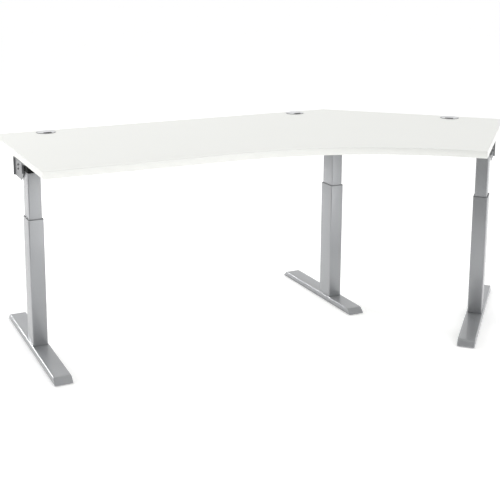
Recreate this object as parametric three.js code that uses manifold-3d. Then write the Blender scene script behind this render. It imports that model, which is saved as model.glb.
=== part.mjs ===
// A three-leg electric standing desk with a 135 degree angled top. Millimetres, +Z up, floor at Z 0.
// X runs along the rear edge of the main section, Y runs to the rear. The origin is on the floor,
// under the middle of the top's bounding rectangle.

import * as THREE from "three";
import { mergeVertices } from "three/addons/utils/BufferGeometryUtils.js";
import Module from "manifold-3d";

const wasm = await Module();
wasm.setup();

// ---- Driving dimensions -------------------------------------------------------------------------

const GAP = 0.3; // kept between touching pieces
const WING_TURN = Math.PI / 4; // the wing is turned by this towards the user

const MAIN_LENGTH = 1600; // rear edge of the main section
const WING_REACH = 600; // how far the wing goes in X, and its rear edge in -Y
const WING_LENGTH = WING_REACH / Math.cos(WING_TURN);
const TOP_DEPTH = 800;
const TOP_HEIGHT = 813; // working height at rest
const TOP_THICKNESS = 28;
const BAND_THICKNESS = 2; // glued edge band
const FRONT_ARC_RADIUS = 1236;
const UNDERSIDE = TOP_HEIGHT - TOP_THICKNESS;

const LEG_DEPTH = 395; // column axis to the rear edge
const LEFT_INSET = 58; // column axis to the left end
const RIGHT_INSET = 48; // column axis to the right end
const MIDDLE_INSET = 181; // column axis to the rear corner, along X

const OUTER_TUBE = { width: 60, depth: 86, radius: 4, wall: 2.5, top: 542 };
const INNER_TUBE = { width: 51, depth: 78, radius: 3.5, wall: 2, bottom: 193, top: 728 };
const TUBE_PLATE = 6; // closed bottom of the outer tube

const FOOT = { width: 70, bottom: 3, top: 26, wall: 3, edge: 4, slope: 16, round: 12 };
const FOOT_FRONT = 380; // column axis to the foot's front end
const FOOT_REAR = 375;
const MIDDLE_FOOT_FRONT = 226;
const GLIDE = { radius: 18, stud: 4, thickness: 5, inset: 48 };

const SPINDLE = { radius: 8, bottom: 189, top: 744 };
const NUT = { radius: 16, bottom: 452, top: 482, tubeRadius: 13, tubeBore: 9 };
const GUIDE_CLEARANCE = 0.6; // collar and shoe stand off the tubes by half of this
const GUIDE_HEIGHT = 40;
const COLLAR_RIM = 1.8;

const BRACKET = { halfWidth: 30, sheet: 2.5, web: 760, lip: 6 };
const CHEEK = { bottom: 686, front: 10, rear: 155, cut: 45, cutRise: 32 }; // lower front corner cut off
const DRIVE_PLUG = 28; // how far the drive reaches into the inner tube
const MOTOR = { radius: 22, length: 104, centre: 737 };
const ARM = { width: 60, halfLength: 280, sheet: 3, nose: 30 };
const BEAM = { depth: 60, height: 40, wall: 2.5, top: 758, centre: 100, radius: 4 };
const SCREW = { shank: 3, head: 5, headHeight: 3, length: 6.5, behind: 97, heights: [721, 738] };

const GROMMET = { hole: 40, flange: 42, flangeHeight: 2, bore: 36.5, ledge: 33, ledgeTop: 812.3 };
const GROMMET_FROM_REAR = 50;
const LID = { thickness: 2.6, notchWidth: 38, notchDepth: 22, notchTurn: -1.5 };
const GROMMET_LEFT = 1392; // grommet centres: distance from the rear corner along each rear edge
const GROMMET_MIDDLE = 187;
const GROMMET_RIGHT = 612;

const CONTROL_BOX = { width: 220, depth: 110, height: 34, x: -890, y: -145 };
const INLET = { width: 31, height: 24, depth: 20, proud: 2 };
const INLET_RECESS = { width: 24.6, height: 16.6, depth: 15 };
const HANDSET = { width: 96, depth: 58, height: 14.4, x: -1130, front: -731 };
const BUTTON = { width: 16, height: 7, depth: 7, proud: 1.5, spacing: 26, pocket: 8 };

const ORIGIN_X = (MAIN_LENGTH - WING_REACH) / 2;
const ORIGIN_Y = (WING_REACH + TOP_DEPTH * Math.sin(WING_TURN)) / 2;

// ---- Finishes -----------------------------------------------------------------------------------

/** A material from its colour, roughness and metalness. */
const finish = (color, roughness, metalness) => (
  new THREE.MeshStandardMaterial({ color, roughness, metalness }));

const WHITE_MELAMINE = finish(0xf4f4f0, 0.55, 0);
const BRACKET_STEEL = finish(0x97999b, 0.45, 0.6);
const BLACK_PAINT = finish(0x1b1c1e, 0.5, 0.2);
const WHITE_BAND = finish(0xf6f6f3, 0.5, 0);
const SILVER_PAINT = finish(0xb4b7b9, 0.42, 0.5);
const BLACK_PLASTIC = finish(0x17181a, 0.55, 0);
const DARK_PLASTIC = finish(0x3a3c3f, 0.6, 0);
const GREY_PLASTIC = finish(0xcbcdcf, 0.45, 0);
const BRIGHT_STEEL = finish(0xc9ccce, 0.3, 1);
const NUT_PLASTIC = finish(0xd9d4c4, 0.6, 0);

// ---- Solids -------------------------------------------------------------------------------------

/** A closed geometry as a solid that can be joined and cut. */
function solid(geometry) {
  const bare = geometry.clone();
  bare.deleteAttribute("normal");
  bare.deleteAttribute("uv");
  const merged = mergeVertices(bare, 1e-3);
  const vertProperties = new Float32Array(merged.attributes.position.array);
  const triVerts = new Uint32Array(merged.index.array);
  return new wasm.Manifold(new wasm.Mesh({ numProp: 3, vertProperties, triVerts }));
}

/** A solid back as a geometry. */
function geometryOf(manifold) {
  const mesh = manifold.getMesh();
  const geometry = new THREE.BufferGeometry();
  geometry.setAttribute("position", new THREE.BufferAttribute(mesh.vertProperties, 3));
  geometry.setIndex(new THREE.BufferAttribute(mesh.triVerts, 1));
  geometry.computeVertexNormals();
  return geometry;
}

/** A box from its lowest to its highest corner. */
function block(x0, x1, y0, y1, z0, z1) {
  const box = new THREE.BoxGeometry(x1 - x0, y1 - y0, z1 - z0);
  return box.translate((x0 + x1) / 2, (y0 + y1) / 2, (z0 + z1) / 2);
}

/** A rectangle round the origin with round corners. */
function roundedRectangle(width, depth, radius) {
  const x = width / 2 - radius;
  const y = depth / 2 - radius;
  const shape = new THREE.Shape();
  shape.absarc(x, y, radius, 0, Math.PI / 2);
  shape.absarc(-x, y, radius, Math.PI / 2, Math.PI);
  shape.absarc(-x, -y, radius, Math.PI, Math.PI * 1.5);
  shape.absarc(x, -y, radius, Math.PI * 1.5, Math.PI * 2);
  shape.closePath();
  return shape;
}

/** A shape in the XY plane, raised from z0 to z1. */
function prism(shape, z0, z1, curveSegments = 1) {
  const settings = { depth: z1 - z0, bevelEnabled: false, curveSegments };
  return new THREE.ExtrudeGeometry(shape, settings).translate(0, 0, z0);
}

/** A shape in the YZ plane, thick from x0 to x1. */
function slabAcrossX(shape, x0, x1, curveSegments = 1) {
  const turn = new THREE.Matrix4().makeBasis(
    new THREE.Vector3(0, 1, 0), new THREE.Vector3(0, 0, 1), new THREE.Vector3(1, 0, 0));
  return prism(shape, 0, x1 - x0, curveSegments).applyMatrix4(turn).translate(x0, 0, 0);
}

/** A shape in the XZ plane, long from y0 to y1. */
function barAlongY(shape, y0, y1, curveSegments = 1) {
  const turn = new THREE.Matrix4().makeBasis(
    new THREE.Vector3(1, 0, 0), new THREE.Vector3(0, 0, 1), new THREE.Vector3(0, -1, 0));
  return prism(shape, 0, y1 - y0, curveSegments).applyMatrix4(turn).translate(0, y1, 0);
}

/** A profile of [radius, height] points turned about Z. The points go up the outside. */
function turned(points, segments) {
  const profile = points.map(([radius, height]) => new THREE.Vector2(radius, height));
  return new THREE.LatheGeometry(profile, segments).rotateX(Math.PI / 2);
}

/** A closed shape through [a, b] points. */
const outline = (points) => new THREE.Shape(points.map(([a, b]) => new THREE.Vector2(a, b)));

/** A named mesh in the given finish. */
function piece(name, geometry, material) {
  const mesh = new THREE.Mesh(geometry, material);
  mesh.name = name;
  return mesh;
}

// ---- Top ----------------------------------------------------------------------------------------
// These pieces are in the rear corner's frame: X and Y are zero where the two rear edges meet.

/** A point u along the wing's rear edge and v behind it. */
function onWing(u, v) {
  const c = Math.cos(WING_TURN);
  const s = Math.sin(WING_TURN);
  return [u * c + v * s, -u * s + v * c];
}

/** The top's outline drawn in by inset. The front is a straight, a long arc and the wing's short straight. */
function topOutline(inset) {
  const half = Math.tan(WING_TURN / 2);
  const arcStart = -(TOP_DEPTH + FRONT_ARC_RADIUS) * half;
  const radius = FRONT_ARC_RADIUS + inset;
  const shape = new THREE.Shape();
  shape.moveTo(-inset * half, -inset);
  shape.lineTo(-MAIN_LENGTH + inset, -inset);
  shape.lineTo(-MAIN_LENGTH + inset, -TOP_DEPTH + inset);
  shape.lineTo(arcStart, -TOP_DEPTH + inset);
  shape.absarc(arcStart, -TOP_DEPTH - FRONT_ARC_RADIUS, radius, Math.PI / 2, Math.PI / 2 - WING_TURN, true);
  shape.lineTo(...onWing(WING_LENGTH - inset, -TOP_DEPTH + inset));
  shape.lineTo(...onWing(WING_LENGTH - inset, -inset));
  shape.closePath();
  return shape;
}

/** [name, centre x, centre y, turn] of each cable grommet. */
const GROMMETS = [
  ["left", -GROMMET_LEFT, -GROMMET_FROM_REAR, 0],
  ["middle", -GROMMET_MIDDLE, -GROMMET_FROM_REAR, 0],
  ["right", ...onWing(GROMMET_RIGHT, -GROMMET_FROM_REAR), -WING_TURN],
];

const ARC_SEGMENTS = 12;

/** The board, with a round hole for each grommet. */
function tabletop() {
  const shape = topOutline(BAND_THICKNESS + GAP);
  for (const [, x, y] of GROMMETS) {
    shape.holes.push(new THREE.Path().absarc(x, y, GROMMET.hole, 0, Math.PI * 2));
  }
  return prism(shape, UNDERSIDE, TOP_HEIGHT, ARC_SEGMENTS);
}

/** The band glued round the board's edge. */
function edgeBand() {
  const shape = topOutline(0);
  shape.holes.push(topOutline(BAND_THICKNESS));
  return prism(shape, UNDERSIDE, TOP_HEIGHT, ARC_SEGMENTS);
}

const GROMMET_SEGMENTS = 24;

/** The sleeve in the board, with its flange on top and a ledge inside for the lid. */
function grommetRing() {
  const sleeve = GROMMET.hole - GAP;
  const flangeBottom = TOP_HEIGHT + GAP;
  const flangeTop = flangeBottom + GROMMET.flangeHeight;
  return turned([
    [GROMMET.ledge, UNDERSIDE + 4],
    [sleeve, UNDERSIDE + 4],
    [sleeve, flangeBottom],
    [GROMMET.flange, flangeBottom],
    [GROMMET.flange, flangeTop - 1],
    [GROMMET.flange - 1, flangeTop],
    [GROMMET.bore, flangeTop],
    [GROMMET.bore, GROMMET.ledgeTop],
    [GROMMET.ledge, GROMMET.ledgeTop],
    [GROMMET.ledge, UNDERSIDE + 4],
  ], GROMMET_SEGMENTS);
}

/** The lid that turns in the ring, with a notch for the cables. */
function grommetLid() {
  const radius = GROMMET.bore - GAP;
  const bottom = GROMMET.ledgeTop + GAP;
  const top = bottom + LID.thickness;
  const disc = turned([[0, bottom], [radius, bottom], [radius, top - 0.8], [radius - 0.8, top], [0, top]],
    GROMMET_SEGMENTS);
  const half = LID.notchWidth / 2;
  const notch = new THREE.Shape();
  notch.moveTo(radius + 1, -half);
  notch.lineTo(radius + 1, half);
  notch.absarc(radius - LID.notchDepth + 5, half - 5, 5, Math.PI / 2, Math.PI);
  notch.absarc(radius - LID.notchDepth + 5, -half + 5, 5, Math.PI, Math.PI * 1.5);
  notch.closePath();
  const cutter = prism(notch, bottom - 1, top + 1).rotateZ(LID.notchTurn);
  return geometryOf(solid(disc).subtract(solid(cutter)));
}

// ---- Legs ---------------------------------------------------------------------------------------
// A leg is in its own frame: the column's axis is at X 0, Y 0, and +Y is the rear.

/** A hollow rectangular tube from z0 to z1. */
function rectangularTube({ width, depth, radius }, bore, z0, z1) {
  const shape = roundedRectangle(width, depth, radius);
  shape.holes.push(roundedRectangle(bore.width, bore.depth, bore.radius));
  return prism(shape, z0, z1);
}

const inside = ({ width, depth, radius, wall }) => (
  { width: width - 2 * wall, depth: depth - 2 * wall, radius: radius - wall });

/** The foot's section in XZ: flat top, round long edges, set in by inset. */
function footSection(inset, bottom) {
  const x = FOOT.width / 2 - inset;
  const z = FOOT.top - inset;
  const r = FOOT.edge - inset / 2;
  const shape = new THREE.Shape();
  shape.moveTo(-x, bottom);
  shape.lineTo(x, bottom);
  shape.absarc(x - r, z - r, r, 0, Math.PI / 2);
  shape.absarc(r - x, z - r, r, Math.PI / 2, Math.PI);
  shape.closePath();
  return shape;
}

/** The foot's side view in YZ, with a sloping nose at each end, set in by inset. */
function footSide(front, rear, inset, bottom) {
  const y0 = -front + inset;
  const y1 = rear - inset;
  const z = FOOT.top - inset;
  const kink = z - FOOT.slope / 2 + inset / 2;
  const shape = new THREE.Shape();
  shape.moveTo(y0, bottom);
  shape.lineTo(y1, bottom);
  shape.lineTo(y1, FOOT.bottom + 2);
  shape.lineTo(y1 - FOOT.slope, kink);
  shape.quadraticCurveTo(y1 - FOOT.slope - 6, z, y1 - FOOT.slope - FOOT.round, z);
  shape.lineTo(y0 + FOOT.slope + FOOT.round, z);
  shape.quadraticCurveTo(y0 + FOOT.slope + 6, z, y0 + FOOT.slope, kink);
  shape.lineTo(y0, FOOT.bottom + 2);
  shape.closePath();
  return shape;
}

/** A pressed steel foot, open below. */
function foot(front, rear) {
  const section = (inset, bottom) => solid(barAlongY(footSection(inset, bottom), -front, rear));
  const side = (inset, bottom) => {
    const shape = footSide(front, rear, inset, bottom);
    return solid(slabAcrossX(shape, -FOOT.width, FOOT.width));
  };
  const body = section(0, FOOT.bottom).intersect(side(0, FOOT.bottom));
  const hollow = section(FOOT.wall, 0).intersect(side(FOOT.wall, 0));
  return geometryOf(body.subtract(hollow));
}

/** A levelling glide: a round pad with a threaded stud that ends under the foot's top. */
function glide() {
  const studTop = FOOT.top - FOOT.wall - GAP;
  return turned([
    [0, 0],
    [GLIDE.radius - 1.5, 0],
    [GLIDE.radius, 1.5],
    [GLIDE.radius, GLIDE.thickness - 1],
    [GLIDE.radius - 2, GLIDE.thickness],
    [GLIDE.stud, GLIDE.thickness],
    [GLIDE.stud, studTop],
    [0, studTop],
  ], 16);
}

/** The lower tube, closed at the bottom by its welded plate. */
function outerTube() {
  const bottom = FOOT.top + GAP;
  const shell = solid(prism(roundedRectangle(OUTER_TUBE.width, OUTER_TUBE.depth, OUTER_TUBE.radius),
    bottom, OUTER_TUBE.top));
  const bore = inside(OUTER_TUBE);
  const hollow = prism(roundedRectangle(bore.width, bore.depth, bore.radius), bottom + TUBE_PLATE,
    OUTER_TUBE.top + 1);
  return geometryOf(shell.subtract(solid(hollow)));
}

/** The upper tube, open at both ends. */
function innerTube() {
  return rectangularTube(INNER_TUBE, inside(INNER_TUBE), INNER_TUBE.bottom, INNER_TUBE.top);
}

/** The section between the two tubes that the plastic guides fill. */
function guideSection() {
  const bore = inside(OUTER_TUBE);
  const outer = { ...bore, width: bore.width - GUIDE_CLEARANCE, depth: bore.depth - GUIDE_CLEARANCE };
  const { width, depth, radius } = INNER_TUBE;
  const hole = { width: width + GUIDE_CLEARANCE, depth: depth + GUIDE_CLEARANCE, radius };
  return [outer, hole];
}

/** The guide at the lower tube's mouth, with a rim that lies on the tube. */
function guideCollar() {
  const [outer, hole] = guideSection();
  const rim = OUTER_TUBE.top + GAP;
  const sleeve = rectangularTube(outer, hole, rim - GUIDE_HEIGHT, rim + 1);
  const cap = rectangularTube(OUTER_TUBE, hole, rim, rim + COLLAR_RIM);
  return geometryOf(solid(sleeve).add(solid(cap)));
}

/** The guide round the upper tube's lower end. */
function guideShoe() {
  const [outer, hole] = guideSection();
  return rectangularTube(outer, hole, INNER_TUBE.bottom, INNER_TUBE.bottom + GUIDE_HEIGHT);
}

/** The nut on top of the tube that carries it, standing on the lower tube's plate. */
function liftNut() {
  const bottom = FOOT.top + TUBE_PLATE + 2 * GAP;
  const bore = SPINDLE.radius + GAP;
  return turned([
    [NUT.tubeBore, bottom],
    [NUT.tubeRadius, bottom],
    [NUT.tubeRadius, NUT.bottom],
    [NUT.radius, NUT.bottom],
    [NUT.radius, NUT.top],
    [bore, NUT.top],
    [bore, NUT.bottom + 2],
    [NUT.tubeBore, NUT.bottom + 2],
    [NUT.tubeBore, bottom],
  ], 16);
}

/** The spindle, from the drive down through the nut. */
function spindle() {
  const { radius, bottom, top } = SPINDLE;
  return turned([[0, bottom], [radius - 2, bottom], [radius, bottom + 2], [radius, top], [0, top]], 12);
}

/** The black gear housing on the column, with a plug in the tube and a socket for the spindle. */
function drive() {
  const bore = inside(INNER_TUBE);
  const bottom = INNER_TUBE.top + GAP;
  const { width, depth, radius } = INNER_TUBE;
  const head = prism(roundedRectangle(width, depth, radius), bottom, BRACKET.web);
  const plugSection = roundedRectangle(bore.width - 1, bore.depth - 1, bore.radius);
  const plug = prism(plugSection, bottom - DRIVE_PLUG, bottom + 1);
  const socketTop = SPINDLE.top + GAP;
  const socket = turned([
    [0, bottom - DRIVE_PLUG - 1],
    [SPINDLE.radius + GAP, bottom - DRIVE_PLUG - 1],
    [SPINDLE.radius + GAP, socketTop],
    [0, socketTop],
  ], 16);
  return geometryOf(solid(head).add(solid(plug)).subtract(solid(socket)));
}

/** The motor that lies behind the gear housing, with its end cap and bearing boss. */
function motor() {
  const { radius, length, centre } = MOTOR;
  const can = turned([
    [0, 0],
    [radius - 3, 0],
    [radius - 3, 5],
    [radius, 5],
    [radius, length - 8],
    [radius - 2, length - 6],
    [radius - 2, length - 2],
    [radius - 4, length],
    [7, length],
    [7, length + 4],
    [0, length + 4],
  ], 20);
  return can.rotateX(-Math.PI / 2).translate(0, INNER_TUBE.depth / 2 + 2 * GAP, centre);
}

/** The folded head bracket: a web over the drive, and two cheeks with a cut corner and a lip at each end. */
function headBracket() {
  const { halfWidth, sheet, web, lip } = BRACKET;
  const { bottom, front, rear, cut, cutRise } = CHEEK;
  const webBottom = web + GAP;
  const webTop = webBottom + sheet;
  const cheek = outline([
    [front, webTop], [front, bottom + cutRise], [cut, bottom], [rear, bottom], [rear, webTop],
  ]);
  let body = solid(block(-halfWidth - lip, halfWidth + lip, -INNER_TUBE.depth / 2, rear, webBottom, webTop));
  for (const side of [-1, 1]) {
    const [x0, x1] = side < 0 ? [-halfWidth, sheet - halfWidth] : [halfWidth - sheet, halfWidth];
    const [l0, l1] = side < 0 ? [-halfWidth - lip, x1] : [x0, halfWidth + lip];
    body = body.add(solid(slabAcrossX(cheek, x0, x1)));
    body = body.add(solid(block(l0, l1, front, front + sheet, bottom + cutRise, webTop)));
    body = body.add(solid(block(l0, l1, rear - sheet, rear, bottom, webTop)));
  }
  for (const height of SCREW.heights) {
    body = body.subtract(solid(screwBore(height, SCREW.shank + GAP)));
  }
  return geometryOf(body);
}

/** A round bar right across the bracket, where the screws go. */
function screwBore(height, radius) {
  const reach = BRACKET.halfWidth + BRACKET.lip;
  const bar = turned([[0, -reach], [radius, -reach], [radius, reach], [0, reach]], 16);
  return bar.rotateY(Math.PI / 2).translate(0, SCREW.behind, height);
}

/** A round-head screw in a bracket's cheek. Side is -1 or 1 in X. */
function screw(side, height) {
  const { shank, head, headHeight, length, behind } = SCREW;
  const bar = turned([
    [0, -length],
    [shank, -length],
    [shank, GAP],
    [head, GAP],
    [head, headHeight - 1.5],
    [head - 1.5, headHeight],
    [0, headHeight],
  ], 16);
  return bar.rotateY(side * Math.PI / 2).translate(side * BRACKET.halfWidth, behind, height);
}

/** The folded arm between the bracket and the board, an upside-down channel with sloping ends. */
function arm() {
  const x = ARM.width / 2;
  const z1 = UNDERSIDE - GAP;
  const z0 = BRACKET.web + BRACKET.sheet + 2 * GAP;
  const t = ARM.sheet;
  const section = outline([
    [-x, z0], [t - x, z0], [t - x, z1 - t], [x - t, z1 - t], [x - t, z0], [x, z0], [x, z1], [-x, z1],
  ]);
  const y = ARM.halfLength;
  const nose = y - ARM.nose;
  const side = outline([[-nose, z0], [nose, z0], [y, z1 - t], [y, z1], [-y, z1], [-y, z1 - t]]);
  const bar = solid(barAlongY(section, -y, y));
  return geometryOf(bar.intersect(solid(slabAcrossX(side, -x, x))));
}

/** One leg as a group at (x, y), turned about Z. */
function leg(name, x, y, turn, front, outerSide) {
  const group = new THREE.Group();
  group.position.set(x, y, 0);
  group.rotation.z = turn;
  group.add(
    piece(`${name}_foot`, foot(front, FOOT_REAR), SILVER_PAINT),
    piece(`${name}_outer_tube`, outerTube(), SILVER_PAINT),
    piece(`${name}_guide_collar`, guideCollar(), DARK_PLASTIC),
    piece(`${name}_lift_nut`, liftNut(), NUT_PLASTIC),
    piece(`${name}_spindle`, spindle(), BRIGHT_STEEL),
    piece(`${name}_guide_shoe`, guideShoe(), DARK_PLASTIC),
    piece(`${name}_inner_tube`, innerTube(), SILVER_PAINT),
    piece(`${name}_gear_housing`, drive(), BLACK_PLASTIC),
    piece(`${name}_motor`, motor(), BLACK_PLASTIC),
    piece(`${name}_head_bracket`, headBracket(), BRACKET_STEEL),
    piece(`${name}_top_arm`, arm(), BLACK_PAINT),
  );
  for (const [end, along] of [["front", GLIDE.inset - front], ["rear", FOOT_REAR - GLIDE.inset]]) {
    const pad = piece(`${name}_glide_${end}`, glide(), BLACK_PLASTIC);
    pad.position.y = along;
    group.add(pad);
  }
  if (outerSide) {
    for (const [i, level] of ["lower", "upper"].entries()) {
      const head = screw(outerSide, SCREW.heights[i]);
      group.add(piece(`${name}_bracket_screw_${level}`, head, BLACK_PAINT));
    }
  }
  return group;
}

// ---- Beams --------------------------------------------------------------------------------------

/** A beam's section in YZ about its centre line, less its bore. */
function beamSection() {
  const { depth, height, radius, wall } = BEAM;
  const shape = roundedRectangle(depth, height, radius);
  shape.holes.push(roundedRectangle(depth - 2 * wall, height - 2 * wall, radius - wall));
  return shape;
}

/** A beam along X from x0 to x1, its centre line at y. */
function beam(x0, x1, y) {
  return slabAcrossX(beamSection(), x0, x1).translate(0, y, BEAM.top - BEAM.height / 2);
}

/** The beam between the left and the middle bracket. */
function mainBeam() {
  const reach = BRACKET.halfWidth + GAP;
  return beam(-MAIN_LENGTH + LEFT_INSET + reach, -MIDDLE_INSET - reach, BEAM.centre - LEG_DEPTH);
}

/** The beam along the wing, cut flat against the middle bracket's right cheek and round its rear lip. */
function wingBeam() {
  const reach = BRACKET.halfWidth + GAP;
  const bar = beam(0, WING_LENGTH - RIGHT_INSET - reach, BEAM.centre - LEG_DEPTH).rotateZ(-WING_TURN);
  const cheek = reach - MIDDLE_INSET;
  const lipFront = CHEEK.rear - BRACKET.sheet - GAP - LEG_DEPTH;
  const besideCheek = block(cheek - WING_LENGTH, cheek, -TOP_DEPTH, 0, 0, TOP_HEIGHT);
  const besideLip = block(cheek - WING_LENGTH, cheek + BRACKET.lip, lipFront, 0, 0, TOP_HEIGHT);
  return geometryOf(solid(bar).subtract(solid(besideCheek)).subtract(solid(besideLip)));
}

// ---- Electrics ----------------------------------------------------------------------------------

/** The control box's walls in X, Y and Z. */
function controlBoxSpan() {
  const { width, depth, height, x, y } = CONTROL_BOX;
  const top = UNDERSIDE - GAP;
  return [x - width / 2, x + width / 2, y - depth / 2, y + depth / 2, top - height, top];
}

/** A box-shaped case with its upright edges and lower rim chamfered. */
function chamferedCase([x0, x1, y0, y1, z0, z1], chamfer) {
  const cx = (x0 + x1) / 2;
  const cy = (y0 + y1) / 2;
  const plan = prism(roundedRectangle(x1 - x0, y1 - y0, chamfer * 2), z0, z1).translate(cx, cy, 0);
  const side = outline([
    [y0, z0 + chamfer], [y0 + chamfer, z0], [y1 - chamfer, z0], [y1, z0 + chamfer], [y1, z1], [y0, z1],
  ]);
  return solid(plan).intersect(solid(slabAcrossX(side, x0, x1)));
}

/** The inlet's outside, in X, Y and Z, widened by extra all round. */
function inletSpan(extra) {
  const [x0, , y0, y1, z0, z1] = controlBoxSpan();
  const cy = (y0 + y1) / 2;
  const cz = (z0 + z1) / 2;
  const w = INLET.width / 2 + extra;
  const h = INLET.height / 2 + extra;
  return [x0 - INLET.proud, x0 - INLET.proud + INLET.depth + extra, cy - w, cy + w, cz - h, cz + h];
}

function controlBox() {
  const pocket = block(...inletSpan(GAP));
  return geometryOf(chamferedCase(controlBoxSpan(), 3).subtract(solid(pocket)));
}

/** The mains inlet socket in the control box's left end. */
function mainsInlet() {
  const span = inletSpan(0);
  const [x0, , y0, y1, z0, z1] = span;
  const cy = (y0 + y1) / 2;
  const cz = (z0 + z1) / 2;
  const w = INLET_RECESS.width / 2;
  const h = INLET_RECESS.height / 2;
  const recess = block(x0 - 1, x0 + INLET_RECESS.depth, cy - w, cy + w, cz - h, cz + h);
  return geometryOf(solid(block(...span)).subtract(solid(recess)));
}

const BUTTON_Z = UNDERSIDE - GAP - HANDSET.height / 2;
const BUTTONS = [["down", HANDSET.x - BUTTON.spacing / 2], ["up", HANDSET.x + BUTTON.spacing / 2]];

/** The handset under the front edge, with a pocket in its front for each button. */
function handset() {
  const { width, depth, height, x, front } = HANDSET;
  const z1 = UNDERSIDE - GAP;
  let body = chamferedCase([x - width / 2, x + width / 2, front, front + depth, z1 - height, z1], 1.5);
  for (const [, cx] of BUTTONS) {
    const w = BUTTON.width / 2 + GAP;
    const h = BUTTON.height / 2 + GAP;
    const pocket = block(cx - w, cx + w, front - 1, front + BUTTON.pocket, BUTTON_Z - h, BUTTON_Z + h);
    body = body.subtract(solid(pocket));
  }
  return geometryOf(body);
}

/** A push button standing proud of the handset's front. */
function button(cx) {
  const cap = roundedRectangle(BUTTON.width, BUTTON.height, 1.5);
  const y0 = HANDSET.front - BUTTON.proud;
  return barAlongY(cap, y0, y0 + BUTTON.depth).translate(cx, 0, BUTTON_Z);
}

// ---- Assembly -----------------------------------------------------------------------------------

const desk = new THREE.Group();
desk.position.set(ORIGIN_X, ORIGIN_Y, 0);

desk.add(
  piece("tabletop", tabletop(), WHITE_MELAMINE),
  piece("edge_band", edgeBand(), WHITE_BAND),
  piece("main_beam", mainBeam(), SILVER_PAINT),
  piece("wing_beam", wingBeam(), SILVER_PAINT),
  piece("control_box", controlBox(), BLACK_PLASTIC),
  piece("mains_inlet", mainsInlet(), BLACK_PLASTIC),
  piece("handset", handset(), BLACK_PLASTIC),
);

for (const [name, cx] of BUTTONS) {
  desk.add(piece(`button_${name}`, button(cx), GREY_PLASTIC));
}

for (const [name, x, y, turn] of GROMMETS) {
  const place = new THREE.Group();
  place.position.set(x, y, 0);
  place.rotation.z = turn;
  place.add(
    piece(`${name}_grommet_ring`, grommetRing(), GREY_PLASTIC),
    piece(`${name}_grommet_lid`, grommetLid(), GREY_PLASTIC),
  );
  desk.add(place);
}

desk.add(
  leg("left", -MAIN_LENGTH + LEFT_INSET, -LEG_DEPTH, 0, FOOT_FRONT, -1),
  leg("middle", -MIDDLE_INSET, -LEG_DEPTH, 0, MIDDLE_FOOT_FRONT, 0),
  leg("right", ...onWing(WING_LENGTH - RIGHT_INSET, -LEG_DEPTH), -WING_TURN, FOOT_FRONT, 1),
);

export default desk;
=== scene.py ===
import math
import bmesh
import bpy
import numpy as np
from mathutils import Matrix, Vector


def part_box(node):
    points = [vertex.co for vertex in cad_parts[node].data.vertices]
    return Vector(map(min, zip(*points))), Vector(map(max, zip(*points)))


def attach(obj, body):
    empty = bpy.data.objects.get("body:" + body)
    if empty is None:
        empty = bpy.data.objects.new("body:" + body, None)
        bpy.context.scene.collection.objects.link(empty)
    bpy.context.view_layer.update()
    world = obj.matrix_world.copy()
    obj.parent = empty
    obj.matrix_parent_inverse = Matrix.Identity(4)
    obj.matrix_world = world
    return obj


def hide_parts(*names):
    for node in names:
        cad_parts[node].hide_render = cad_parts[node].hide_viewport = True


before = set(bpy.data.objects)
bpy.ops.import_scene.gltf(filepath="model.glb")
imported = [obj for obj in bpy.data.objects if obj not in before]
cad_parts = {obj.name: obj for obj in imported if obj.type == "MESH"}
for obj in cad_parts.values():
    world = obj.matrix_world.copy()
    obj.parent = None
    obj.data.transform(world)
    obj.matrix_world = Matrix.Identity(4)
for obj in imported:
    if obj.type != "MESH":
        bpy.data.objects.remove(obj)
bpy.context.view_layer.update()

# ---- Sizes in millimetres, and angles in radians ------------------------------------------------

MM = 0.001
SIDES = ("left", "middle", "right")
WING_TURN = -math.pi / 4

TOP = {"length": 1600, "reach": 600, "depth": 800, "radius": 1236}
BAND_INSIDE = 2.6  # the band's inner face, just inside the board's edge so that no gap shows

OUTER_TUBE = {"width": 60, "depth": 86, "radius": 4}
OUTER_WALL = 2.5
TUBE_PLATE = 6  # closed bottom of the lower tube
INNER_TUBE = {"width": 51, "depth": 78, "radius": 3.5}
INNER_WALL = 2
GUIDE = {"outside": 2.8, "inside": 4.15, "inside_depth": 3.7}  # insets from the lower tube's outside
COLLAR_RIM = 1.8

FOOT = {"half": 35.0, "low": 3.0, "high": 26.0, "edge": 3.9, "wall": 2.6}
FOOT_FRONT = 380  # from the column's axis
MIDDLE_FOOT_FRONT = 226
FOOT_REAR = 375
GLIDE_INSET = 48

GROMMET = {"ledge": 33, "bore": 36.5, "sleeve": 39.7, "rim": 42, "rim_height": 2}
LID = {"radius": 36.2, "notch_half": 19, "notch_depth": 22, "notch_corner": 5}
NOTCH_TURN = -1.5
FOIL_FROM = 814.6  # the silver foil covers the rings and lids above this height

SPINDLE_LEAD = 8.0
NUT_HEIGHT = 30
ARM_SCREWS = {"along": (-235, -150, 150, 235), "up": 781.2}
FOOT_BOLTS = {"across": 12, "along": 52, "up": 23.0}
COLLAR_PINS = {"across": -29.6, "along": -33, "up": (533, 522)}


# ---- Shader expressions -------------------------------------------------------------------------

class Value:
    """A number socket. Arithmetic on it adds Math nodes to its finish."""

    def __init__(self, finish, socket):
        self.finish = finish
        self.socket = socket

    def math(self, operation, first, second):
        return self.finish.node("ShaderNodeMath", {"operation": operation}, {0: first, 1: second})

    def __add__(self, other):
        return self.math("ADD", self, other)

    def __sub__(self, other):
        return self.math("SUBTRACT", self, other)

    def __mul__(self, other):
        return self.math("MULTIPLY", self, other)

    def __radd__(self, other):
        return self.math("ADD", other, self)

    def __rsub__(self, other):
        return self.math("SUBTRACT", other, self)

    def __rmul__(self, other):
        return self.math("MULTIPLY", other, self)

    def between(self, low, high):
        """0 below low, 1 above high, a smooth step between."""
        return self.finish.node("ShaderNodeMapRange", {"interpolation_type": "SMOOTHSTEP"},
                                {"Value": self, "From Min": low, "From Max": high})


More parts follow.
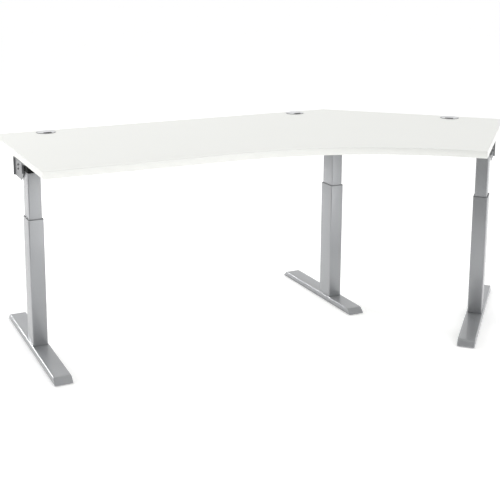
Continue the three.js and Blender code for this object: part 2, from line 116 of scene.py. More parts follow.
class Finish:
    """A material and its node tree."""

    def __init__(self, name):
        self.material = bpy.data.materials.new(name)
        self.material.use_nodes = True
        self.tree = self.material.node_tree
        self.tree.nodes.clear()
        self.place = self.node("ShaderNodeTexCoord", output="Object")

    def node(self, kind, settings=None, inputs=None, output=0):
        """Adds a node of that kind, sets it up, feeds its sockets, and gives one output as a Value."""
        made = self.tree.nodes.new(kind)
        for key, value in (settings or {}).items():
            setattr(made, key, value)
        for key, value in (inputs or {}).items():
            if isinstance(value, Value):
                self.tree.links.new(value.socket, made.inputs[key])
            else:
                made.inputs[key].default_value = value
        return Value(self, made.outputs[output])

    def stretched(self, scale, turn=0.0):
        """Object coordinates turned about Z, then scaled along each axis."""
        turned = self.node("ShaderNodeMapping", {"vector_type": "POINT"},
                           {"Vector": self.place, "Rotation": (0, 0, turn)})
        return self.node("ShaderNodeMapping", {"vector_type": "POINT"}, {"Vector": turned, "Scale": scale})

    def noise(self, scale, detail=2.0, roughness=0.5, vector=None):
        return self.node("ShaderNodeTexNoise", {}, {
            "Vector": vector or self.place, "Scale": scale, "Detail": detail, "Roughness": roughness})

    def cells(self, scale):
        """Distance to the nearest of scattered points."""
        return self.node("ShaderNodeTexVoronoi", {}, {"Vector": self.place, "Scale": scale})

    def blend(self, factor, low, high):
        """A colour between low and high, each a colour of three numbers or a Value."""
        low, high = [(*end, 1) if isinstance(end, tuple) else end for end in (low, high)]
        inputs = {"Factor": factor, 6: low, 7: high}
        return self.node("ShaderNodeMix", {"data_type": "RGBA"}, inputs, output=2)

    def bump(self, height, distance):
        return self.node("ShaderNodeBump", {}, {"Height": height, "Distance": distance, "Strength": 1.0})

    def shade(self, colour, roughness, normal, **constants):
        """Ends the tree in one Principled shader. Constants are set on its own sockets."""
        inputs = {"Base Color": colour, "Roughness": roughness, "Normal": normal}
        for key, value in constants.items():
            inputs[key.replace("_", " ")] = value
        shader = self.node("ShaderNodeBsdfPrincipled", {}, inputs)
        out = self.tree.nodes.new("ShaderNodeOutputMaterial")
        self.tree.links.new(shader.socket, out.inputs["Surface"])
        return self.material


def grey(level, warm=0.0):
    """A near-grey colour. Warm above 0 leans to cream, below 0 to blue."""
    return (level * (1 + warm), level, level * (1 - 1.6 * warm))


# ---- Finishes -----------------------------------------------------------------------------------

def melamine(name, level, pearl, rough):
    """White melamine: a pearl of tiny soft lumps, faint clouds in tone and sheen, a hint of cream."""
    f = Finish(name)
    cream = np.array([0.992, 1.0, 0.962]) * level
    clouds = f.noise(2.3, 3)
    lumps = f.noise(1500, 1)
    pits = f.cells(700)
    tone = f.blend(clouds * 0.7 + lumps * 0.3, tuple(cream * 0.975), tuple(cream))
    height = lumps * 0.7 + pits.between(0.0, 0.5) * 0.3
    return f.shade(tone, rough + (lumps - 0.5) * 0.10 + (clouds - 0.5) * 0.06, f.bump(height, pearl),
                   Specular_IOR_Level=0.42)


def powder_coat(name, level, flake, metallic, gloss=0.5):
    """Fine metallic powder coat: orange peel, bright flakes, a little cloud in its sheen."""
    f = Finish(name)
    peel = f.noise(520, 2)
    flakes = f.cells(2600)
    clouds = f.noise(5.0, 3)
    sparkle = 1 - flakes.between(0.12, 0.42)
    shade = f.blend(clouds, grey(level * 0.96, -0.024), grey(level * 1.04, -0.020))
    tone = f.blend(sparkle * 0.30, shade, grey(flake, -0.01))
    rough = 0.40 + (peel - 0.5) * 0.12 + (clouds - 0.5) * 0.06 - sparkle * 0.05
    height = peel * 0.8 + sparkle * 0.2
    return f.shade(tone, rough, f.bump(height, 0.00004), Metallic=metallic, Specular_IOR_Level=0.5,
                   Coat_Weight=gloss, Coat_Roughness=0.11)


def moulded(name, level, warm, grain, rough, specular=0.4):
    """Moulded plastic: spark-eroded grain, and slight flow marks along Z that change its tone and sheen."""
    f = Finish(name)
    fine = f.noise(grain, 3, 0.6)
    flow = f.noise(14, 2, vector=f.stretched((1, 1, 0.35)))
    tone = f.blend(fine * 0.6 + flow * 0.4, grey(level * 0.82, warm), grey(level * 1.16, warm))
    return f.shade(tone, rough + (flow - 0.5) * 0.14 + (fine - 0.5) * 0.08, f.bump(fine, 0.00006),
                   Specular_IOR_Level=specular)


def capped_moulding(name, level, edge_at):
    """Black moulding whose top face, above edge_at metres, carries a silver foil with a brushed grain."""
    f = Finish(name)
    z = f.node("ShaderNodeSeparateXYZ", {}, {"Vector": f.place}, output=2)
    foil = z.between(edge_at, edge_at + 0.0003)
    grain = f.noise(300, 3, vector=f.stretched((0.08, 1, 1), 0.3))
    fine = f.noise(1400, 2)
    tone = f.blend(foil, grey(0.022), f.blend(grain, grey(level * 0.93, -0.01), grey(level * 1.05, -0.01)))
    return f.shade(tone, 0.52 - foil * 0.14 + (grain - 0.5) * 0.1, f.bump(grain * 0.5 + fine * 0.5, 0.00005))


def zinc_plate(name):
    """Bright zinc-plated steel: turning marks round Z, cloudy passivation with a faint straw tint."""
    f = Finish(name)
    marks = f.noise(400, 2, vector=f.stretched((0.1, 0.1, 1.0)))
    clouds = f.noise(60, 3)
    tone = f.blend(clouds, (0.60, 0.61, 0.62), (0.70, 0.69, 0.64))
    return f.shade(tone, 0.24 + marks * 0.14 + clouds * 0.08, f.bump(marks, 0.00003), Metallic=1.0)


def greased_nylon(name):
    """Natural nylon with a smear of grease that darkens and shines."""
    f = Finish(name)
    smear = f.noise(38, 4, 0.6).between(0.48, 0.66)
    grain = f.noise(900, 2)
    tone = f.blend(smear, (0.72, 0.66, 0.52), (0.42, 0.34, 0.20))
    return f.shade(tone, 0.55 - smear * 0.38 + grain * 0.06, f.bump(grain + smear, 0.00005))


def pale_floor(name):
    """A matt near-white studio floor with the faintest unevenness."""
    f = Finish(name)
    clouds = f.noise(1.1, 3)
    tone = f.blend(clouds, grey(0.955, 0.001), grey(0.975, 0.001))
    return f.shade(tone, 0.75 + clouds * 0.1, f.bump(f.noise(220, 2), 0.00003), Specular_IOR_Level=0.1,
                   Emission_Color=(1, 1, 1, 1), Emission_Strength=0.26)


BOARD = melamine("white melamine", level=0.93, pearl=0.00004, rough=0.46)
BAND = melamine("white edge band", level=0.92, pearl=0.00002, rough=0.36)
SILVER = powder_coat("silver powder coat", level=0.34, flake=0.48, metallic=0.58)
# The bracket's coat is darker than the silver coat. Part of that is the bracket's own grey, and part is
# painted shade for the shade that falls on it under the top.
BRACKET_GREY_AND_SHADE = powder_coat("grey bracket coat and painted shade", level=0.20, flake=0.35, metallic=0.30, gloss=0.05)
BLACK_PAINT = powder_coat("black powder coat", level=0.016, flake=0.05, metallic=0.1)
BLACK = moulded("black housing", level=0.007, warm=-0.02, grain=1300, rough=0.62, specular=0.15)
RUBBER = moulded("black glide", level=0.030, warm=0.0, grain=700, rough=0.70, specular=0.25)
DARK = moulded("dark moulding", level=0.150, warm=-0.02, grain=1100, rough=0.52)
CAP = capped_moulding("silver-capped moulding", level=0.72, edge_at=FOIL_FROM * MM)
GREY = moulded("silver-grey moulding", level=0.60, warm=-0.01, grain=1500, rough=0.38, specular=0.5)
ARROW = moulded("dark printed mark", level=0.045, warm=0.0, grain=1500, rough=0.45)
ZINC = zinc_plate("zinc plate")
NYLON = greased_nylon("greased nylon")


# ---- Surfaces -----------------------------------------------------------------------------------

def grid_quads(rows, columns, wrap):
    """Quads of a grid whose columns close on themselves, and whose rows do too if wrap."""
    i = np.arange(rows if wrap else rows - 1)[:, None]
    j = np.arange(columns)[None, :]
    a = i * columns + j
    b = i * columns + (j + 1) % columns
    c = ((i + 1) % rows) * columns + (j + 1) % columns
    d = ((i + 1) % rows) * columns + j
    return np.stack([a, b, c, d], -1).reshape(-1, 4)


def settle(obj, finish, angle=35):
    """Gives a piece its finish and its smoothing, with edges over angle degrees sharp."""
    obj.data.materials.clear()
    obj.data.materials.append(finish)
    obj.data.shade_smooth()
    obj.data.set_sharp_from_angle(angle=math.radians(angle))


def turn_outwards(mesh):
    """Merges doubled points and turns the faces outwards."""
    bm = bmesh.new()
    bm.from_mesh(mesh)
    bmesh.ops.remove_doubles(bm, verts=bm.verts, dist=2e-6)
    bmesh.ops.recalc_face_normals(bm, faces=bm.faces)
    bm.to_mesh(mesh)
    bm.free()


def mesh_piece(name, points, faces, finish):
    """A mesh object from points in metres and faces."""
    mesh = bpy.data.meshes.new(name)
    corners = np.asarray(points, float).reshape(-1, 3).tolist()
    mesh.from_pydata(corners, [], [list(map(int, face)) for face in faces])
    mesh.validate()
    obj = bpy.data.objects.new(name, mesh)
    bpy.context.scene.collection.objects.link(obj)
    turn_outwards(mesh)
    settle(obj, finish)
    return obj


def loft(name, rings, finish, wrap=False):
    """A skin over rings, an array of [ring, point, xyz]. Wrapped, it closes on itself, and otherwise its
    two ends are capped."""
    rows, columns, _ = rings.shape
    faces = grid_quads(rows, columns, wrap).tolist()
    if not wrap:
        faces.append(list(range(columns))[::-1])
        faces.append(list(range((rows - 1) * columns, rows * columns)))
    return mesh_piece(name, rings, faces, finish)


def rounded_rectangle(width, depth, radius, steps=8):
    """Points round a rectangle: each corner is centre + radius (cos a, sin a) over a quarter turn."""
    a = np.linspace(0, math.pi / 2, steps + 1)
    quarter = np.concatenate([a + k * math.pi / 2 for k in range(4)])
    sx = np.repeat([1, -1, -1, 1], steps + 1)
    sy = np.repeat([1, 1, -1, -1], steps + 1)
    x = sx * (width / 2 - radius) + radius * np.cos(quarter)
    y = sy * (depth / 2 - radius) + radius * np.sin(quarter)
    return np.stack([x, y], -1)


def raised(outline, z):
    """A flat outline as points at height z."""
    return np.column_stack([outline, np.full(len(outline), z)])


def walls(tube, profile):
    """Rings of a rectangular tube: at each [inset, z] of the profile the tube's outside is drawn in by the
    inset, and its corner radius with it, down to a least radius of 0.8."""
    rings = []
    for inset, z in profile:
        width = tube["width"] - 2 * inset
        depth = tube["depth"] - 2 * inset
        rings.append(raised(rounded_rectangle(width, depth, max(tube["radius"] - inset, 0.8)), z))
    return np.array(rings)


def turned(profile, count=64):
    """Rings of a turned shape: (r cos a, r sin a, z) for each [r, z] of the profile."""
    a = np.linspace(0, 2 * math.pi, count, endpoint=False)
    r, z = np.array(profile, float).T[..., None]
    return np.stack([r * np.cos(a), r * np.sin(a), z + 0 * a], -1)


def hexagon(count):
    """What draws a circle's points in to a hexagon when they are multiplied by it: cos 30 degrees over
    the cosine of a point's angle from the nearest flat's middle."""
    a = np.linspace(0, 2 * math.pi, count, endpoint=False)
    return (math.cos(math.pi / 6) / np.cos((a + math.pi / 6) % (math.pi / 3) - math.pi / 6))[None, :, None]


def soft_profile(points, radius, steps=4):
    """A profile whose inner corners are rounded: each becomes a quadratic arc within radius of the corner."""
    points = np.array(points, float)
    out = [points[0]]
    for before, corner, after in zip(points[:-2], points[1:-1], points[2:]):
        length_in = np.linalg.norm(before - corner)
        length_out = np.linalg.norm(after - corner)
        start = corner + (before - corner) * min(radius, length_in / 2.2) / length_in
        end = corner + (after - corner) * min(radius, length_out / 2.2) / length_out
        t = np.linspace(0, 1, steps + 1)[:, None]
        out.extend((1 - t) ** 2 * start + 2 * t * (1 - t) * corner + t ** 2 * end)
    out.append(points[-1])
    return np.array(out)


# ---- Places -------------------------------------------------------------------------------------

def middle_of(node):
    low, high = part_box(node)
    return [(a + b) / 2 for a, b in zip(low, high)]


def height(node):
    """A node's lowest and highest Z in millimetres."""
    low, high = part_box(node)
    return low[2] / MM, high[2] / MM


def turn_of(side):
    return WING_TURN if side == "right" else 0.0


def placed(rings, spot, turn=0.0):
    """Rings in millimetres turned about Z and moved to a spot in metres."""
    c, s = math.cos(turn), math.sin(turn)
    x, y, z = rings[..., 0], rings[..., 1], rings[..., 2]
    return np.stack([(c * x - s * y) * MM + spot[0], (s * x + c * y) * MM + spot[1], z * MM + spot[2]], -1)


def on_leg(side, rings):
    """Rings in a leg's own frame, its column's axis at zero, brought to the leg's place."""
    x, y, _ = middle_of(f"{side}_outer_tube")
    return placed(rings, (x, y, 0.0), turn_of(side))


def swap(obj, body, *nodes):
    """The piece rides on the body and stands for these CAD nodes."""
    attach(obj, body)
    if nodes:
        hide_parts(*nodes)


def round_edges(obj, width, segments=3):
    edge = obj.modifiers.new("edges", "BEVEL")
    edge.width = width * MM
    edge.segments = segments
    edge.limit_method = "ANGLE"
    edge.angle_limit = math.radians(32)
    edge.harden_normals = True


def softened(node, name, finish, body, width, segments=3):
    """The CAD node's own solid, its flat faces joined up and its edges rounded."""
    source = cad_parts[node]
    mesh = source.data.copy()
    mesh.name = name
    mesh.transform(source.matrix_world)
    bm = bmesh.new()
    bm.from_mesh(mesh)
    bmesh.ops.remove_doubles(bm, verts=bm.verts, dist=5e-6)
    bmesh.ops.dissolve_limit(bm, angle_limit=math.radians(1.0), verts=bm.verts, edges=bm.edges)
    bmesh.ops.recalc_face_normals(bm, faces=bm.faces)
    bm.to_mesh(mesh)
    bm.free()
    obj = bpy.data.objects.new(name, mesh)
    bpy.context.scene.collection.objects.link(obj)
    settle(obj, finish, 30)
    round_edges(obj, width, segments)
    swap(obj, body, node)


# ---- Top ----------------------------------------------------------------------------------------

def top_outline(inset):
    """Points round the top, drawn in by inset: two rear edges at 135 degrees, two ends, and a front
    that is a straight, an arc of 45 degrees and a short straight."""
    half = math.tan(math.pi / 8)
    s = math.sqrt(0.5)
    wing = TOP["reach"] / s

    def on_wing(u, v):
        return [(u + v) * s, (v - u) * s]

    arc_x = -(TOP["depth"] + TOP["radius"]) * half
    a = np.linspace(math.pi / 2, math.pi / 4, 73)
    r = TOP["radius"] + inset
    arc = np.stack([arc_x + r * np.cos(a), -TOP["depth"] - TOP["radius"] + r * np.sin(a)], -1)
    straight = np.linspace(-TOP["length"] + inset, arc_x, 5)[:-1]
    front = np.stack([straight, np.full(len(straight), -TOP["depth"] + inset)], -1)
    ends = np.array([
        on_wing(wing - inset, -TOP["depth"] + inset), on_wing(wing - inset, -inset),
        [-inset * half, -inset], [-TOP["length"] + inset, -inset],
    ])
    return np.concatenate([front, arc, ends])


def edge_band():
    """The band: the outline carried round a section with softly rounded outer edges."""
    low, high = height("tabletop")
    section = [
        (BAND_INSIDE, low + 0.1), (0.9, low), (0.35, low + 0.25), (0.0, low + 0.9),
        (0.0, high - 0.9), (0.35, high - 0.25), (0.9, high), (BAND_INSIDE, high - 0.1),
    ]
    _, rear_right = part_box("edge_band")
    corner = (rear_right[0] - TOP["reach"] * MM, rear_right[1], 0)
    rings = placed(np.array([raised(top_outline(inset), z) for inset, z in section]), corner)
    swap(loft("edge_band_rounded", rings, BAND, wrap=True), "top", "edge_band")


def notched_disc(radius, half, deep, corner):
    """Outline of a disc with a notch at angle 0: the arc between the ends of the notch's mouth, then its
    walls with a quarter-round corner each."""
    mouth = math.asin(half / radius)
    a = np.linspace(mouth, 2 * math.pi - mouth, 90)
    arc = radius * np.stack([np.cos(a), np.sin(a)], -1)
    b = np.linspace(0, math.pi / 2, 7)
    x = radius - deep + corner
    low = np.stack([x - corner * np.sin(b), -half + corner - corner * np.cos(b)], -1)
    high = np.stack([x - corner * np.cos(b), half - corner + corner * np.sin(b)], -1)
    return np.concatenate([arc, low, high])


def grommet(side):
    """The grommet's sleeve and flange, turned as one profile, and its lid with a notch."""
    x, y, _ = middle_of(f"{side}_grommet_ring")
    low, high = height(f"{side}_grommet_ring")
    ledge, bore, sleeve, rim = [GROMMET[key] for key in ("ledge", "bore", "sleeve", "rim")]
    flange = high - GROMMET["rim_height"]
    profile = [
        (ledge, low), (sleeve, low), (sleeve, flange), (rim, flange), (rim, high - 1.1),
        (rim - 0.4, high - 0.3), (rim - 1.4, high), (bore + 0.9, high), (bore + 0.2, high - 0.3),
        (bore, high - 1), (bore, high - 3), (ledge + 0.4, high - 3), (ledge, high - 3.4),
    ]
    rings = placed(turned(profile, 96), (x, y, 0), turn_of(side))
    ring = loft(f"{side}_grommet_rim", rings, CAP, wrap=True)
    swap(ring, "top", f"{side}_grommet_ring")
    disc = notched_disc(LID["radius"], LID["notch_half"], LID["notch_depth"], LID["notch_corner"])
    rings = np.array([raised(disc, z) for z in height(f"{side}_grommet_lid")])
    rings = placed(rings, (x, y, 0), turn_of(side) + NOTCH_TURN)
    lid = loft(f"{side}_grommet_cap", rings, CAP)
    round_edges(lid, 0.4)
    swap(lid, f"{side}_lid", f"{side}_grommet_lid")


# ---- Legs ---------------------------------------------------------------------------------------

def foot_reach(side):
    """How far the foot goes in front of and behind the column's axis."""
    return (MIDDLE_FOOT_FRONT if side == "middle" else FOOT_FRONT), FOOT_REAR


def upward(mesh):
    """Sum of the faces' upward normals, each by its area."""
    return sum(face.normal.z * face.area for face in mesh.polygons)


def foot(side):
    """The foot: along Y its top height is the soft minimum of the flat and a nose slope at each end,
    and each section is an upright side, a quarter-round edge and a flat top. Solidify gives its wall."""
    front, rear = foot_reach(side)
    half, low, high = FOOT["half"], FOOT["low"], FOOT["high"]
    near = np.concatenate([[0, 0], np.linspace(0.6, 40, 22)])
    y = np.concatenate([-front + near, np.linspace(-front + 60, rear - 60, 9), rear - near[::-1]])
    nose = np.minimum(y + front, rear - y)
    slope = 5.5 + nose * 0.93
    blend = 2.2
    top = -blend * np.log(np.exp(-(slope - high) / blend) + 1) + high
    top = np.clip(top, low, high)
    top[0] = top[-1] = low
    a = np.linspace(0, math.pi / 2, 9)
    r = np.minimum(FOOT["edge"], (top - low) * 0.9)[:, None]
    left = np.stack([-half + r * (1 - np.cos(a)), top[:, None] - r * (1 - np.sin(a))], -1)
    right = left[:, ::-1] * [-1, 1]
    lowest = np.full((len(y), 1, 1), low)
    first = np.concatenate([np.full_like(lowest, -half), lowest], -1)
    last = np.concatenate([np.full_like(lowest, half), lowest], -1)
    section = np.concatenate([first, left, right, last], 1)
    columns = section.shape[1]
    along = np.repeat(y[:, None, None], columns, 1)
    points = on_leg(side, np.concatenate([section[..., :1], along, section[..., 1:]], -1))
    quads = grid_quads(len(y), columns, False).reshape(len(y) - 1, columns, 4)[:, :-1].reshape(-1, 4)
    obj = mesh_piece(f"{side}_foot_pressed", points, quads, SILVER)
    if upward(obj.data) < 0:
        obj.data.flip_normals()
    wall = obj.modifiers.new("wall", "SOLIDIFY")
    wall.thickness = FOOT["wall"] * MM
    wall.offset = -1
    wall.use_even_offset = False
    swap(obj, f"{side}_base", f"{side}_foot")


def glides(side):
    """Turned levelling glides with a hexagon to grip."""
    front, rear = foot_reach(side)
    pad = turned([(0.4, 0), (15.5, 0), (17.4, 0.5), (18, 1.8), (18, 3.6), (17.3, 4.7), (16, 5), (9, 5)], 72)
    stud = turned([(9, 5), (9, 9.5), (8.4, 10.2), (4, 10.2), (4, 22.2), (3.2, 22.7), (0.4, 22.7)], 72)
    stud[:3, :, :2] *= hexagon(72)
    rings = np.concatenate([pad, stud])
    for end, along in (("front", GLIDE_INSET - front), ("rear", rear - GLIDE_INSET)):
        points = on_leg(side, rings + np.array([0, along, 0]))
        obj = loft(f"{side}_glide_pad_{end}", points, RUBBER)
        swap(obj, f"{side}_base", f"{side}_glide_{end}")


def outer_tube(side):
    """The lower tube: its wall carried up the outside, over the rounded mouth and down the inside to the
    plate that closes it."""
    low, high = height(f"{side}_outer_tube")
    bore = OUTER_WALL
    section = [
        (0.7, low), (0.2, low + 0.2), (0, low + 0.7), (0, high - 0.8), (0.25, high - 0.2), (0.8, high),
        (bore - 0.7, high), (bore - 0.2, high - 0.2), (bore, high - 0.8),
        (bore, low + TUBE_PLATE), (20, low + TUBE_PLATE), (20, low),
    ]
    rings = on_leg(side, walls(OUTER_TUBE, section))
    obj = loft(f"{side}_outer_column", rings, SILVER, wrap=True)
    swap(obj, f"{side}_base", f"{side}_outer_tube")


def inner_tube(side):
    """The upper tube: its wall carried up the outside and down the inside, its rims rounded."""
    low, high = height(f"{side}_inner_tube")
    bore = INNER_WALL
    section = [
        (0.2, low), (0, low + 0.4), (0, high - 0.4), (0.2, high),
        (bore - 0.2, high), (bore, high - 0.4), (bore, low + 0.4), (bore - 0.2, low),
    ]
    rings = on_leg(side, walls(INNER_TUBE, section))
    obj = loft(f"{side}_inner_column", rings, SILVER, wrap=True)
    swap(obj, "top", f"{side}_inner_tube")


def collar(side):
    """The guide collar: a sleeve, then a rim that lies on the tube and is rounded outside. The bore's rings
    are stretched along Y, because the tubes stand closer together there."""
    low, high = height(f"{side}_guide_collar")
    rim = high - COLLAR_RIM
    outside, inside = GUIDE["outside"], GUIDE["inside"]
    section = [
        (outside, low), (outside, rim), (0.15, rim), (0, rim + 0.3), (0, high - 0.8), (0.3, high - 0.25),
        (0.9, high), (inside - 0.75, high), (inside - 0.15, high - 0.3), (inside, high - 0.9), (inside, low),
    ]
    rings = walls(OUTER_TUBE, section)
    depth = OUTER_TUBE["depth"]
    rings[-4:, :, 1] *= (depth - 2 * GUIDE["inside_depth"]) / (depth - 2 * inside)
    obj = loft(f"{side}_collar_moulding", on_leg(side, rings), DARK, wrap=True)
    swap(obj, f"{side}_base", f"{side}_guide_collar")


def shoe(side):
    """The sliding shoe, with a shallow groove for grease wherever a sine of its height is over 0.6."""
    low, high = height(f"{side}_guide_shoe")
    z = np.linspace(low, high, 41)
    groove = 0.35 * (np.sin((z - low) / 40 * 6 * math.pi) > 0.6)
    section = [(GUIDE["outside"] + g, h) for g, h in zip(groove, z)]
    section += [(GUIDE["inside"], high), (GUIDE["inside"], low)]
    rings = on_leg(side, walls(OUTER_TUBE, section))
    obj = loft(f"{side}_shoe_moulding", rings, DARK, wrap=True)
    swap(obj, "top", f"{side}_guide_shoe")


def spindle(side):
    """The spindle: radius = mean radius + half the thread's depth times a cosine of (angle - 2 pi z / lead)
    that is clipped to flat crests and roots. Its two ends are plain."""
    low, high = height(f"{side}_spindle")
    z = np.linspace(low + 2, high - 40, 560)[:, None]
    a = np.linspace(0, 2 * math.pi, 28, endpoint=False)[None, :]
    wave = np.clip(1.4 * np.cos(a - 2 * math.pi * z / SPINDLE_LEAD), -1, 1)
    r = 7.2 + 0.75 * wave
    body = np.stack([r * np.cos(a), r * np.sin(a), z + 0 * a], -1)
    tail = turned([(0.4, low), (6, low), (7, low + 1)], 28)
    neck = turned([(7, high - 38), (6.4, high - 37), (6.4, high - 1), (5.4, high), (0.4, high)], 28)
    rings = on_leg(side, np.concatenate([tail, body, neck]))
    obj = loft(f"{side}_threaded_spindle", rings, ZINC)
    swap(obj, f"{side}_screw", f"{side}_spindle")


def lift_nut(side):
    """The nut: a round flange on the steel tube that carries it, its corners rounded."""
    low, high = height(f"{side}_lift_nut")
    join = high - NUT_HEIGHT
    profile = soft_profile([
        (9, low), (13, low), (13, join), (16, join), (16, high), (8.3, high), (8.3, join + 2), (9, join + 2),
    ], 0.8)
    obj = loft(f"{side}_nut_moulding", on_leg(side, turned(profile, 60)), NYLON, wrap=True)
    swap(obj, f"{side}_base", f"{side}_lift_nut")


def screw_head(side, name, way, at, radius, body, depth=2.6, finish=ZINC):
    """A domed head with a hexagonal socket: circle radii for the dome, hexagon radii for the socket.
    It stands at a place in the leg's frame, with its dome down, or to -X or +X for a way of -1 or 1."""
    t = np.linspace(0, math.pi / 2, 7)
    dome = [(radius * math.cos(b) * 0.45 + radius * 0.55, depth * math.sin(b)) for b in t]
    socket = [(radius * 0.52, depth), (radius * 0.5, depth * 0.35), (0.2, depth * 0.3)]
    rings = turned([(0.3, 0), (radius, 0)] + dome + socket, 48)
    rings[-3:-1, :, :2] *= hexagon(48)
    x, y, z = rings[..., 0], rings[..., 1], rings[..., 2]
    rings = np.stack([x, -y, -z] if way == "down" else [way * z, y, x], -1)
    swap(loft(name, on_leg(side, rings + np.array(at)), finish), body)


def leg_screws(side):
    """The screws that hold the arm to the board, the column to the foot, and the collar in its tube."""
    for k, along in enumerate(ARM_SCREWS["along"]):
        at = (0, along, ARM_SCREWS["up"])
        screw_head(side, f"{side}_arm_screw_{k}", "down", at, 4.6, "top")
    for k, (across, along) in enumerate(((-1, -1), (1, -1), (-1, 1), (1, 1))):
        at = (across * FOOT_BOLTS["across"], along * FOOT_BOLTS["along"], FOOT_BOLTS["up"])
        screw_head(side, f"{side}_foot_bolt_{k}", "down", at, 6.0, f"{side}_base", 4)
    for k, up in enumerate(COLLAR_PINS["up"]):
        at = (COLLAR_PINS["across"], COLLAR_PINS["along"], up)
        screw_head(side, f"{side}_collar_pin_{k}", -1, at, 1.7, f"{side}_base", 0.9, SILVER)


def leg(side):
    for build in (foot, glides, outer_tube, inner_tube, collar, shoe, spindle, lift_nut):
        build(side)
    softened(f"{side}_gear_housing", f"{side}_gear_case", BLACK, "top", 0.9)
    softened(f"{side}_motor", f"{side}_motor_can", BLACK, "top", 0.6)
    # the bracket's darker coat carries painted shade from the top above it
    softened(f"{side}_head_bracket", f"{side}_bracket_folded", BRACKET_GREY_AND_SHADE, "top", 0.45, 2)
    softened(f"{side}_top_arm", f"{side}_arm_folded", BLACK_PAINT, "top", 0.7)
    leg_screws(side)


def bracket_screws(side):
    for level in ("lower", "upper"):
        node = f"{side}_bracket_screw_{level}"
        softened(node, f"{node}_head", BLACK_PAINT, "top", 0.3, 2)


# ---- Beams and electrics ------------------------------------------------------------------------

def arrow(way):
    """A small raised triangle on a button's face, its point up or down."""
    low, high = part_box(f"button_{way}")
    x, z = (low[0] + high[0]) / 2 / MM, (low[2] + high[2]) / 2 / MM
    face = low[1] / MM
    flip = 1 if way == "up" else -1
    corners = np.array([[-1.9, -1.3 * flip], [1.9, -1.3 * flip], [0, 1.7 * flip]])
    rings = np.array([np.column_stack([x + corners[:, 0], np.full(3, face + d), z + corners[:, 1]])
                      for d in (0.1, -0.12)])
    swap(loft(f"button_mark_{way}", rings * MM, ARROW), f"{way}_key")


def inlet_pins():
    """Three flat pins in the mains inlet."""
    low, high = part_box("mains_inlet")
    y, z = (low[1] + high[1]) / 2 / MM, (low[2] + high[2]) / 2 / MM
    x = low[0] / MM
    section = rounded_rectangle(1.8, 4.2, 0.6, 4)
    for k, (across, up) in enumerate(((-7, -2), (0, 3), (7, -2))):
        pin = section + [y + across, z + up]
        rings = np.array([np.column_stack([np.full(len(pin), at), pin]) for at in (x + 17.5, x + 5)])
        swap(loft(f"inlet_pin_{k}", rings * MM, ZINC), "top")


def underparts():
    for node in ("main_beam", "wing_beam"):
        softened(node, f"{node}_tube", SILVER, "top", 0.5, 2)
    softened("control_box", "control_box_case", BLACK, "top", 1.2)
    softened("mains_inlet", "mains_inlet_socket", BLACK, "top", 0.5)
    softened("handset", "handset_case", BLACK, "top", 0.8)
    for way in ("down", "up"):
        softened(f"button_{way}", f"button_{way}_cap", GREY, f"{way}_key", 0.7)
        arrow(way)
    inlet_pins()


# ---- Studio, in metres --------------------------------------------------------------------------

AMBIENT = 0.97
AMBIENT_DARK = 0.25
DARK_SIDE = (-0.90, -0.44, 0.0)
AIM = (0.0, 0.0, 0.45)
LIGHTS = [
    ("left softbox", (-4.8, 0.9, 2.3), 2.8, 0.10),
    ("right softbox", (4.4, -2.6, 1.2), 2.4, 0.04),
    ("front softbox", (1.6, -6.2, 1.5), 4.2, 0.19),
    ("rear softbox", (-2.3, 6.5, 3.2), 1.3, 0.33),
]
CAMERA_PLACE = (-1.9097, -3.4313, 1.5489)
CAMERA_TILT = 0.18899  # down from level
CAMERA_TURN = -0.43288  # from looking along +Y
CAMERA_LENS = 69.399  # mm, on a sensor 36 mm wide
CAMERA_SHIFT = (0.06, -0.22)


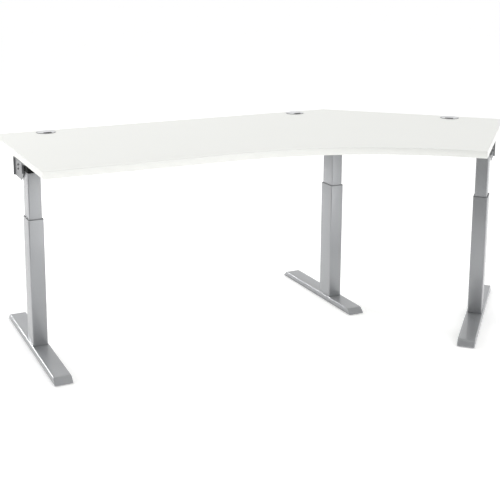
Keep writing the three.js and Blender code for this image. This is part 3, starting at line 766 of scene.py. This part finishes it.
def surround():
    """The world: a soft white light from all round that falls off towards the dark side, by a smooth step on
    the direction's dot product with it. The camera itself sees plain white."""
    world = bpy.context.scene.world or bpy.data.worlds.new("studio")
    bpy.context.scene.world = world
    world.use_nodes = True
    tree = world.node_tree
    tree.nodes.clear()
    add, link = tree.nodes.new, tree.links.new
    out, mix, path = add("ShaderNodeOutputWorld"), add("ShaderNodeMixShader"), add("ShaderNodeLightPath")
    around, seen = add("ShaderNodeBackground"), add("ShaderNodeBackground")
    place, facing, fall = add("ShaderNodeTexCoord"), add("ShaderNodeVectorMath"), add("ShaderNodeMapRange")
    for background in (around, seen):
        background.inputs["Color"].default_value = (1, 1, 1, 1)
    facing.operation = "DOT_PRODUCT"
    facing.inputs[1].default_value = DARK_SIDE
    fall.interpolation_type = "SMOOTHSTEP"
    for key, value in (("From Min", -0.2), ("From Max", 0.9), ("To Min", AMBIENT), ("To Max", AMBIENT_DARK)):
        fall.inputs[key].default_value = value
    link(place.outputs["Generated"], facing.inputs[0])
    link(facing.outputs["Value"], fall.inputs["Value"])
    link(fall.outputs["Result"], around.inputs["Strength"])
    link(path.outputs["Is Camera Ray"], mix.inputs["Fac"])
    link(around.outputs[0], mix.inputs[1])
    link(seen.outputs[0], mix.inputs[2])
    link(mix.outputs[0], out.inputs["Surface"])


def soft_light(name, place, size, level):
    """A square softbox. Its power gives a facing white surface at the aim point that brightness."""
    toward = np.array(AIM) - np.array(place)
    distance = np.linalg.norm(toward)
    light = bpy.data.lights.new(name, "AREA")
    light.size = size
    light.energy = level * (math.pi * distance) ** 2
    obj = bpy.data.objects.new(name, light)
    obj.location = place
    yaw = math.atan2(toward[0], -toward[1])
    tilt = math.acos(-toward[2] / distance)
    obj.rotation_euler = (tilt, 0, yaw + math.pi)
    obj.visible_camera = False
    bpy.context.scene.collection.objects.link(obj)


def studio():
    bpy.ops.mesh.primitive_grid_add(x_subdivisions=4, y_subdivisions=4, size=80)
    floor = bpy.context.object
    floor.name = "studio_floor"
    floor.data.materials.append(pale_floor("pale studio floor"))
    surround()
    for light in LIGHTS:
        soft_light(*light)


def camera():
    data = bpy.data.cameras.new("camera")
    data.sensor_width = 36
    data.lens = CAMERA_LENS
    data.shift_x, data.shift_y = CAMERA_SHIFT
    data.clip_end = 200
    obj = bpy.data.objects.new("camera", data)
    obj.location = CAMERA_PLACE
    obj.rotation_euler = (math.pi / 2 - CAMERA_TILT, 0, CAMERA_TURN)
    bpy.context.scene.collection.objects.link(obj)
    bpy.context.scene.camera = obj


# ---- The desk -----------------------------------------------------------------------------------

camera()
bpy.context.scene.view_settings.view_transform = "Standard"
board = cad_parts["tabletop"]
board.data.materials.clear()
board.data.materials.append(BOARD)
edge_band()
for side in SIDES:
    grommet(side)
    leg(side)
for side in ("left", "right"):
    bracket_screws(side)
underparts()
studio()
